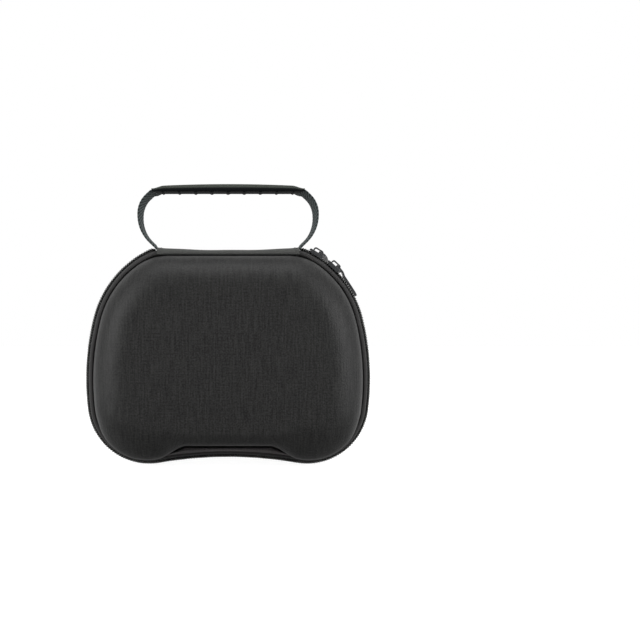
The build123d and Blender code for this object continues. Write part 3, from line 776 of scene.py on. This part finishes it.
def zip_coil(side):
    """A row of coil: a wire wound round a core. The lid's row leaves gaps at the sliders."""
    path = zip_path(0.5, COIL_START)
    turns = int(path[-1, 4] / PITCH) - 1
    phase = np.arange(turns * COIL_TURN + 1) / COIL_TURN
    s = (phase + COIL_FIRST[side]) * PITCH
    across, up = np.cos(2 * pi * phase), np.sin(2 * pi * phase)
    line = at_path(path, s + COIL_LEAN * PITCH * across, COIL_CENTRE[0] - COIL_SPREAD * across,
                   COIL_CENTRE[1] - COIL_LIFT * up, side)
    hidden = slider_gap(path, s) & (side == "lid")
    heap, cores = Pile(), Pile()
    edges = np.flatnonzero(np.diff(hidden.astype(int)))
    for run in np.split(np.arange(len(s)), edges + 1):
        if not hidden[run[0]] and len(run) > COIL_TURN:
            heap.add(tube(line[run], COIL_WIRE))
            first, last = s[run[0]], s[run[-1]]
            along = np.linspace(first, last, ceil((last - first) / 1.5))
            core = at_path(path, along, COIL_CENTRE[0] + 0.1, COIL_CENTRE[1] + 0.1, side)
            cores.add(tube(core, COIL_CORE, 10))
    coil = heap.make(side + "_zip_coil_turns")
    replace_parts(dress(coil, side, coil_nylon), side + "_zip_coil")
    dress(cores.make(side + "_zip_coil_core"), side, tape_cloth)
    seams = Pile()
    places = np.arange(2.0, path[-1, 4] - 2.0, 0.5)
    for depth, inset in ZIP_SEAMS:
        stitches(seams, at_path(path, places, depth, inset, side), *ZIP_STITCH)
    dress(seams.make(side + "_zip_stitches"), side, sewing)


def stitches(heap, line, pitch, gap, radius):
    """Stitches laid along a line of points."""
    run = run_lengths(line)
    for start in np.arange(0, run[-1] - pitch, pitch):
        at = np.linspace(start + gap / 2, start + pitch - gap / 2, len(STITCH_SWELL))
        points = np.stack([np.interp(at, run, line[:, k]) for k in range(3)], axis=1)
        heap.add(tube(points, radius * STITCH_SWELL, 5))


# Spine

COVER_RISE, COVER_SAG, COVER_THICK, COVER_LENGTH = -0.4, 1.9, 0.9, 34.0
COVER_COLUMNS, COVER_ROWS, COVER_WEAVE_RUN, HEM_THICKER = 76, 44, 44.0, 0.2
COVER_RIPPLE, COVER_PUCKER, PUCKER_REACH = (0.12, 5.3), (0.1, 3.4), 0.05
END_SEAM, EDGE_SEAM_STOP, EDGE_SEAM_TURNS = SPINE_END - 2.2, SPINE_END - 3.6, (0.045, 0.955)
LINING_HALF, LINING_SPAN, LINING_THICK, LINING_Z = SPINE_END - 1.0, 11.6, 0.7, TOP - 6.0


def cover_point(x, turn, lift):
    """A point of the arched cover: turn runs from 0 at the back edge to 1 at the front edge."""
    share = x / SPINE_END
    crest = TOP + COVER_RISE - (COVER_RISE + COVER_SAG) * (1 - share**2)
    crest += COVER_RIPPLE[0] * np.sin(x / COVER_RIPPLE[1] + turn * 2.0) * (1 - share**8)
    rise = crest - SPINE_EDGE_Z + lift
    angle = pi * turn
    pucker = COVER_PUCKER[0] * np.sin(x * 2 * pi / COVER_PUCKER[1])
    pucker *= np.exp(-np.minimum(turn, 1 - turn) / PUCKER_REACH)
    return np.array([x, (SPINE_EDGE_DEPTH + lift + pucker) * cos(angle),
                     SPINE_EDGE_Z + rise * sin(angle) ** 0.92])


def cover_layer(lift):
    """Rows of one face of the cover, thicker at the hems of its two ends."""
    xs = np.linspace(-SPINE_END, SPINE_END, COVER_COLUMNS)
    hems = HEM_THICKER * (1 - ramp(SPINE_END - np.abs(xs), 3.2, 4.0))
    return [[cover_point(x, turn, lift + hem) for x, hem in zip(xs, hems)]
            for turn in np.linspace(0.0, 1.0, COVER_ROWS)]


def cover_seams():
    """Stitches along the cover's four edges."""
    heap = Pile()
    for x in (-END_SEAM, END_SEAM):
        line = np.array([cover_point(x, turn, 0.26) for turn in np.linspace(0.03, 0.97, 120)])
        stitches(heap, line, *COVER_STITCH)
    for turn in EDGE_SEAM_TURNS:
        xs = np.linspace(-EDGE_SEAM_STOP, EDGE_SEAM_STOP, 200)
        line = np.array([cover_point(x, turn, 0.08) for x in xs])
        stitches(heap, line, *COVER_STITCH)
    return heap.make("spine_cover_stitches")


def spine_cover():
    """Cloth arch with turned hems at its ends."""
    rows = np.array(cover_layer(0.0) + cover_layer(-COVER_THICK)[::-1])
    xs = np.linspace(-SPINE_END, SPINE_END, COVER_COLUMNS)
    span = np.linspace(0, COVER_WEAVE_RUN, COVER_ROWS)
    uvs = [[(x, run) for x in xs] for run in np.concatenate([span, span[::-1], span[:1]])]
    points, faces, corners = grid(rows, uvs, tube=True)
    for end in (0, COVER_COLUMNS - 1):
        for v in range(COVER_ROWS - 1):
            ring = (v, v + 1, 2 * COVER_ROWS - 2 - v, 2 * COVER_ROWS - 1 - v)
            faces.append([k * COVER_COLUMNS + end for k in ring])
            corners += [(0.0, v), (0.0, v + 1.0), (0.9, v + 1.0), (0.9, v)]
    cover = mesh_object("spine_cover_cloth", points, faces, corners)
    seam = cover_seams()
    for piece, material in ((cover, cover_cloth), (seam, sewing)):
        dress(piece, None, material)
        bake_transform(piece)
    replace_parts(cover, "spine_cover")


def spine_lining():
    """Thin strip of lining under the spine."""
    xs = np.linspace(-LINING_HALF, LINING_HALF, 60)
    ys = np.linspace(LINING_SPAN / 2, -LINING_SPAN / 2, 16)
    rows = [joined(xs, y, LINING_Z - drop + 0.1 * np.sin(xs / 3.1) * cos(y / 4))
            for drop, line in ((0.0, ys), (LINING_THICK, ys[::-1])) for y in line]
    uvs = [[(x, 0.7 * v) for x in xs] for v in range(len(rows) + 1)]
    lining = mesh_object("spine_lining_cloth", *capped(rows, uvs))
    dress(lining, None, pile)
    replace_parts(lining, "spine_lining")
    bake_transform(lining)


# Handle

WEB_WIDTH, WEB_THICK = 11.0, 1.4
WEB_CORNERS = ((SPINE_END - 9.6, TOP - 2.7, 0.0), (SPINE_END - 0.8, TOP - 2.7, 2.0),
               (SPINE_END + 12.85, TOP + 10.3, 10.5), (SPINE_END + 12.85, TOP + 28.9, 7.2),
               (SPINE_END + 4.0, TOP + 37.2, 2.0), (0.0, TOP + 37.9, 6.5))
WEB_TWIST, WEB_DRAW, WEB_RIB_PITCH, WEB_RIB_SHARE = 15.0, 1.4, 2.4, 0.03
GRIP_HALF, GRIP_BOTTOM, GRIP_WIDTH = SPINE_END + 4.0, TOP + 35.5, 15.0
GRIP_END_THICK, GRIP_MIDDLE_THICK, GRIP_LIP_THICK, GRIP_SIDES = 4.0, 5.4, 1.7, 32
RIBS, RIB_SPACING, RIB_WIDEST, RIB_TAPER = 9, 10.6, 1.75, 0.15
RIB_HALF_LENGTH, RIB_HEIGHT, RIB_BASE = 7.1, 1.35, GRIP_BOTTOM + 0.8


def rounded_route(corners, step):
    """Even points along straight runs joined by arcs that start this far from each corner."""
    line = [np.array(corners[0][:2])]
    for before, corner, after in zip(corners, corners[1:], corners[2:]):
        middle, run = np.array(corner[:2]), corner[2]
        back, ahead = unit(np.array(before[:2]) - middle), unit(np.array(after[:2]) - middle)
        bisector = unit(back + ahead)
        half = acos(np.clip(back @ bisector, -1, 1))
        centre = middle + bisector * run / cos(half)
        first = heading(centre, middle + back * run)
        sweep = (heading(centre, middle + ahead * run) - first + pi) % (2 * pi) - pi
        for t in np.linspace(first, first + sweep, 13):
            line.append(centre + run * tan(half) * np.array([cos(t), sin(t)]))
    line = np.array(line + [np.array(corners[-1][:2])])
    return even_steps(line, run_lengths(line), step)


def web_route():
    """The webbing's centre line (x, z, length) from its right end to its left end."""
    left = tuple((-x, z, run) for x, z, run in reversed(WEB_CORNERS[:-1]))
    return rounded_route(WEB_CORNERS + left, 0.8)


def webbing():
    """Ribbed webbing, rounded at its edges, turned a little towards its inner face."""
    x, z, run = web_route().T
    ahead = unit(np.gradient(np.stack([x, z], axis=1), axis=0))
    from_end = np.minimum(run, run[-1] - run)
    share = (0.45 * ramp(from_end, 9.0, 14.0) + 0.55 * ramp(from_end, 14.0, 46.0))
    share *= 1 - ramp(from_end, 58.0, 66.0)
    twist = np.radians(WEB_TWIST * share)
    ribs = 1 + WEB_RIB_SHARE * np.sin(run * 2 * pi / WEB_RIB_PITCH)
    section = flat_section(WEB_WIDTH / 2, WEB_THICK / 2, 24, 0.35, 0.7)
    rows = []
    for across, through in section:
        y = across * np.cos(twist) + through * np.sin(twist)
        out = (through * np.cos(twist) - across * np.sin(twist)) * ribs - WEB_DRAW * share
        rows.append(joined(x + out * ahead[:, 1], y, z - out * ahead[:, 0]))
    web = band_object("handle_webbing_cloth", rows, run, section)
    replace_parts(dress(web, "handle", web_cloth), "handle_webbing")


def grip():
    """Moulded grip: flat below, arched above, drawn in to the webbing at its ends."""
    xs = GRIP_HALF * np.sin(np.linspace(-pi / 2, pi / 2, 120))
    to_end = GRIP_HALF - np.abs(xs)
    thick = GRIP_MIDDLE_THICK - (GRIP_MIDDLE_THICK - GRIP_END_THICK) * (xs / GRIP_HALF) ** 2
    full = np.sqrt(np.maximum(1 - (1 - np.clip(to_end / 5.0, 0, 1)) ** 2, 0))
    narrow = WEB_WIDTH + 0.4
    width = narrow + (GRIP_WIDTH - narrow) * full
    height = GRIP_LIP_THICK + (thick - GRIP_LIP_THICK) * ramp(to_end, -2.0, 8.0)
    base = GRIP_BOTTOM + 0.9 * (1 - full)
    rows = []
    for k in range(GRIP_SIDES):
        t = 2 * pi * k / GRIP_SIDES
        across = np.sign(cos(t)) * abs(cos(t)) ** 0.55
        rise = 0.36 + 0.64 * sin(t) ** 0.85 if sin(t) > 0 else 0.36 * (1 - abs(sin(t)) ** 0.4)
        rows.append(joined(xs, width / 2 * across, base + height * rise))
    uvs = [[(x, GRIP_GIRTH_STEP * k) for x in xs] for k in range(GRIP_SIDES + 1)]
    body = mesh_object("handle_grip_body", *capped(rows, uvs))
    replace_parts(dress(body, "handle", grip_rubber_painted_shade), "handle_grip")
    grip_ribs()


def grip_ribs():
    """Round ribs across the grip's underside, narrower towards its ends."""
    ys = RIB_HALF_LENGTH * np.sin(np.linspace(-pi / 2, pi / 2, 26))
    swell = np.sqrt(np.maximum(1 - (np.abs(ys) / (RIB_HALF_LENGTH + 0.02)) ** 6, 0))
    heap = Pile()
    for rib in range(RIBS):
        place = rib - (RIBS - 1) / 2
        half = RIB_WIDEST - RIB_TAPER * abs(place)
        heap.add([joined(place * RIB_SPACING + half * swell * cos(t), ys,
                         RIB_BASE + RIB_HEIGHT * swell * sin(t))
                  for t in (2 * pi * k / 18 for k in range(18))])
    dress(heap.make("handle_grip_ribs"), "handle", rib_rubber_painted_shade)


# Pieces whose solids are right as they are

def finish(piece, width):
    """Soft edges on flat faces."""
    for polygon in piece.data.polygons:
        polygon.use_smooth = True
    soften(piece, width)
    normals = piece.modifiers.new("facets", "WEIGHTED_NORMAL")
    normals.keep_sharp = True


def finish_solid(node, width):
    """A solid kept as it is, with lacquer and soft edges."""
    solid = nodes[node]
    solid.data.materials.clear()
    solid.data.materials.append(slider_metal)
    finish(solid, width)


# Inside

STRAP_HALF, STRAP_SEWN, STRAP_WIDTH, STRAP_THICK, STRAP_Z = 58.0, 12.0, 25.0, 1.2, 66.0
PATCH_HALVES, PATCH_X, PATCH_DEPTH = (6.0, 13.5), 53.0, HALF_DEPTH - WALL - 1.4
PATCH_EDGE = ((0.0, -0.05), (0.0, 0.55), (0.25, 0.8), (0.8, 0.8), (1.0, 0.72))
POCKET_INSET, POCKET_TOP, HEM_HEIGHT, NET_PITCH = 30.0, 84.0, 7.0, 2.2
POCKET_LOW, POCKET_DEPTH = POCKET_INSET + 1.0, HALF_DEPTH - WALL - 0.1


def strap():
    """Elastic strap, standing proud of the base between its sewn ends."""
    xs = np.linspace(-STRAP_HALF, STRAP_HALF, 150)
    free = STRAP_HALF - STRAP_SEWN
    bow = 4.0 * ramp(free - np.abs(xs) + 2, 0.0, free)
    depth = HALF_DEPTH - WALL - 0.7 - bow
    ribs, waist = 1 + 0.06 * np.sin(xs * 2 * pi / 1.4), 1 - 0.012 * np.cos(xs / 17)
    section = flat_section(STRAP_WIDTH / 2, STRAP_THICK / 2, 28, 0.3, 0.6)
    rows = [joined(xs, depth + through * ribs, STRAP_Z + across * waist)
            for across, through in section]
    piece = band_object("retaining_strap_elastic", rows, xs, section)
    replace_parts(dress(piece, "base", elastic), "retaining_strap")


def box_loop(x_half, z_half, radius, middle, inset, count):
    """Points round a rounded rectangle."""
    loop = []
    for corner, (x_sign, z_sign) in enumerate(((1, 1), (-1, 1), (-1, -1), (1, -1))):
        x, z = middle[0] + x_sign * (x_half - radius), middle[1] + z_sign * (z_half - radius)
        for t in np.linspace(corner * pi / 2, (corner + 1) * pi / 2, count + 1):
            loop.append((x + (radius - inset) * cos(t), z + (radius - inset) * sin(t)))
    return np.array(loop)


def patches():
    """Cloth patches over the strap's ends, box stitched with a cross."""
    for name, x in (("right", PATCH_X), ("left", -PATCH_X)):
        middle = (x, STRAP_Z)
        rows, uvs = [], []
        for inset, out in PATCH_EDGE:
            loop = box_loop(*PATCH_HALVES, 1.2, middle, inset, 4)
            rows.append(joined(loop[:, 0], PATCH_DEPTH - out, loop[:, 1]))
            uvs.append(np.concatenate([loop, loop[:1]]))
        patch = mesh_object("strap_patch_" + name, *roofed(rows, uvs))
        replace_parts(dress(patch, "base", nylon), "strap_patches")
        square = box_loop(PATCH_HALVES[0] - 1.4, PATCH_HALVES[1] - 1.4, 0.6, middle, 0.0, 3)
        seams = Pile()
        for line in (np.concatenate([square, square[:1]]), cross_line(square[0], square[8]),
                     cross_line(square[4], square[12])):
            line = joined(line[:, 0], PATCH_DEPTH - 0.86, line[:, 1])
            stitches(seams, line, *PATCH_STITCH)
        dress(seams.make("strap_stitches_" + name), "base", sewing)


def cross_line(start, end):
    return start + (end - start) * np.linspace(0, 1, 40)[:, None]


def pocket_edge(z):
    """Half width of the pocket at this height."""
    loop = np.array(right_pocket())
    loop = loop[np.argsort(loop[:, 1])]
    return np.interp(z, loop[:, 1], loop[:, 0])


def right_pocket():
    """Right side of the pocket's outline, from its top to the lowest place of the lobe."""
    radius = LOBE_RADIUS - POCKET_INSET
    to_corner, to_lobe = heading(SIDE_CENTRE, CORNER_CENTRE), heading(SIDE_CENTRE, LOBE_CENTRE)
    points = arc(CORNER_CENTRE, CORNER_RADIUS - POCKET_INSET, radians(60), to_corner, 12)
    points += arc(SIDE_CENTRE, SIDE_RADIUS - POCKET_INSET, to_corner, to_lobe, 20)
    points += arc(LOBE_CENTRE, radius, to_lobe, -pi / 2, 16)
    return points


def mesh_pocket(hem):
    """Knitted net, a little loose over the lid's face."""
    net = Pile()
    widest = float(np.max(pocket_edge(np.linspace(POCKET_LOW, POCKET_TOP, 60))))
    x = np.linspace(-widest, widest, 240)
    for lean in (1, -1):
        curl = 0.28 * np.sin(x * 2 * pi / NET_PITCH + (0 if lean > 0 else pi))
        for offset in np.arange(-widest - POCKET_TOP, widest + POCKET_TOP, NET_PITCH):
            z = lean * x + offset + (POCKET_TOP + POCKET_LOW) / 2 + curl
            keep = (z > POCKET_LOW) & (z < POCKET_TOP + 1) & (z > dip_edge(x))
            runs = np.flatnonzero(keep & (np.abs(x) < pocket_edge(z) - 0.4))
            for run in np.split(runs, np.flatnonzero(np.diff(runs) > 1) + 1):
                if len(run) > 3:
                    rise = (z[run] - POCKET_LOW) / (POCKET_TOP - POCKET_LOW)
                    sag = 1.6 * np.sin(pi * np.clip(rise, 0, 1))
                    y = sag + 0.35 - POCKET_DEPTH - 0.12 * lean
                    net.add(tube(joined(x[run], y, z[run]), 0.2, 4))
    piece = net.make("mesh_pocket_net")
    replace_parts(dress(piece, "lid", net_yarn), "mesh_pocket")
    z = np.linspace(POCKET_LOW, POCKET_TOP, 120)[:, None]
    cut = float(((np.abs(x) < pocket_edge(z)) & (z > dip_edge(x))).mean())


def dip_edge(x):
    """Lower edge of the pocket between the lobes."""
    reach = DIP_RADIUS + POCKET_INSET
    edge = DIP_CENTRE[1] + np.sqrt(np.maximum(reach**2 - x**2, 0))
    return np.where(np.abs(x) < LOBE_CENTRE[0], edge, 0)


def pocket_hem():
    """Gathered elastic edging along the pocket's mouth."""
    middle = POCKET_TOP + HEM_HEIGHT / 2
    half = float(pocket_edge(middle))
    xs = np.linspace(-half, half, 260)
    gather = 0.16 * np.sin(xs * 2 * pi / 2.9) + 0.08 * np.sin(xs * 2 * pi / 4.7)
    section = flat_section(HEM_HEIGHT / 2, 0.8, 20, 0.4, 0.7)
    rows = [joined(xs, 0.8 - POCKET_DEPTH - through - gather * (1 if through < 0 else 0.3),
                   middle + across * (1 + 0.03 * np.sin(xs / 3.3)))
            for across, through in section]
    hem = band_object("pocket_hem_elastic", rows, xs, section)
    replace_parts(dress(hem, "lid", elastic), "pocket_hem")
    return hem


# Lower slider and its puller
SLIDER_TURN = radians(SLIDER_TURNS[1])
PULLER_THICK, PULLER_PIVOT, PULLER_OUT = 1.3, 1.0, 2.45
PULLER_DIP, PULLER_BEND, PULLER_KNEE = radians(4.0), radians(16.0), 6.75
PULLER_CLEAR, PULLER_EDGE, BODY_EDGE, KNEE_REACH = 0.3, 0.15, 0.18, (5.6, 10.5)


def hanging_puller():
    """The lower puller, bent so that it lies along the zip."""
    mesh = nodes["slider_2_puller"].data.copy()
    piece = placed("slider_2_puller_bent", mesh)
    outward = np.array([sin(SLIDER_TURN), 0, cos(SLIDER_TURN)])
    along = np.array([cos(SLIDER_TURN), 0, -sin(SLIDER_TURN)])
    origin = np.array([CORNER_CENTRE[0], 0, CORNER_CENTRE[1]]) + outward * CORNER_RADIUS
    points = np.empty(len(mesh.vertices) * 3)
    mesh.vertices.foreach_get("co", points)
    points = points.reshape(-1, 3) / MM
    s = (points - origin) @ along
    knee_out = PULLER_OUT - (PULLER_KNEE - PULLER_PIVOT) * tan(PULLER_DIP)
    middle = knee_out - (s - PULLER_KNEE) * tan(PULLER_BEND)
    gap = middle - PULLER_THICK / 2 + s**2 / (2 * CORNER_RADIUS)
    pull = (gap - PULLER_CLEAR) * ramp(s, *KNEE_REACH)
    points -= outward * pull[:, None]
    mesh.vertices.foreach_set("co", (points * MM).ravel())
    mesh.materials.clear()
    mesh.update()
    dress(piece, "puller_2", slider_metal)
    finish(piece, PULLER_EDGE)
    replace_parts(piece, "slider_2_puller")


# Stage, light and camera

def stage():
    """A pale floor under the case."""
    far = 4000
    corners = [(-far, -far, 0), (far, -far, 0), (far, far, 0), (-far, far, 0)]
    floor = mesh_object("floor", corners, [(0, 1, 2, 3)])
    floor.data.materials.append(floor_white())


def floor_white():
    """White to the camera, in mirrors and through glass, with a painted shadow near the case: a
    little dimmer there to the camera, and much dimmer in mirrors and glass.
    """
    g = Graph("floor_white", (0.3, 0.3, 0.3), 0.7)
    path = g.node("ShaderNodeLightPath")
    g.shader.inputs["Emission Color"].default_value = (1, 1, 1, 1)
    where = g.node("ShaderNodeTexCoord")
    away = g.node("ShaderNodeVectorMath", operation="LENGTH")
    g.feed(where.outputs["Object"], away.inputs[0])
    # Painted shadow: the floor's glow falls off towards the case.
    direct = g.map(away.outputs["Value"], 0.12, 0.3, 0.92, 1.0)
    shaded = g.map(away.outputs["Value"], 0.06, 0.3, 0.4, 1.0)
    seen = g.maths("MULTIPLY", path.outputs["Is Camera Ray"], direct)
    for kind in ("Is Glossy Ray", "Is Transmission Ray"):
        seen = g.maths("MAXIMUM", seen, g.maths("MULTIPLY", path.outputs[kind], shaded))
    g.feed(seen, g.shader.inputs["Emission Strength"])
    return g.material


def world(level):
    """White to the camera, in mirrors and through glass, and dim as a light."""
    sky = bpy.data.worlds.new("studio")
    bpy.context.scene.world = sky
    sky.use_nodes = True
    g = Tree(sky.node_tree)
    path = g.node("ShaderNodeLightPath")
    seen = g.maths("MAXIMUM", path.outputs["Is Camera Ray"], path.outputs["Is Glossy Ray"])
    seen = g.maths("MAXIMUM", seen, path.outputs["Is Transmission Ray"])
    background = g.tree.nodes["Background"]
    background.inputs["Color"].default_value = (1, 1, 1, 1)
    g.feed(g.map(seen, 0.0, 1.0, level, 1.0), background.inputs["Strength"])


def softbox(name, place, target, size, watts):
    light = bpy.data.lights.new(name, "AREA")
    light.shape, light.size, light.size_y = "RECTANGLE", size[0], size[1]
    light.energy = watts
    lamp = placed(name, light)
    lamp.location = place
    aim = Vector(target) - Vector(place)
    lamp.rotation_euler = aim.to_track_quat("-Z", "Y").to_euler()


def camera():
    """Square in front, shifted so that the case lies to the left."""
    data = bpy.data.cameras.new("camera")
    data.sensor_width, data.lens = 36.0, 51.65
    data.shift_x, data.shift_y = 0.1436, 0.0157
    eye = placed("camera", data)
    eye.location = (0.0, -0.600, 0.087)
    eye.rotation_euler = (pi / 2, 0, 0)
    bpy.context.scene.camera = eye


for side in ("base", "lid"):
    shell(side)
    side_band(side)
    apron(side)
    zip_tape(side)
    zip_coil(side)
    inner_binding(side)
spine_cover()
spine_lining()
webbing()
strap()
patches()
mesh_pocket(pocket_hem())
grip()
for number in ("1", "2"):
    finish_solid(f"slider_{number}_body", BODY_EDGE)
finish_solid("slider_1_puller", PULLER_EDGE)
hanging_puller()
stage()
world(0.04)
for name, x in (("left", -0.87), ("right", 0.87)):
    softbox(name, (x, -0.5, 0.25), (0, 0, 0.08), (0.4, 0.8), 14)
softbox("above", (0.0, -0.23, 0.97), (0, 0, 0.1), (0.9, 0.4), 8)
camera()
bpy.context.scene.view_settings.view_transform = "Standard"
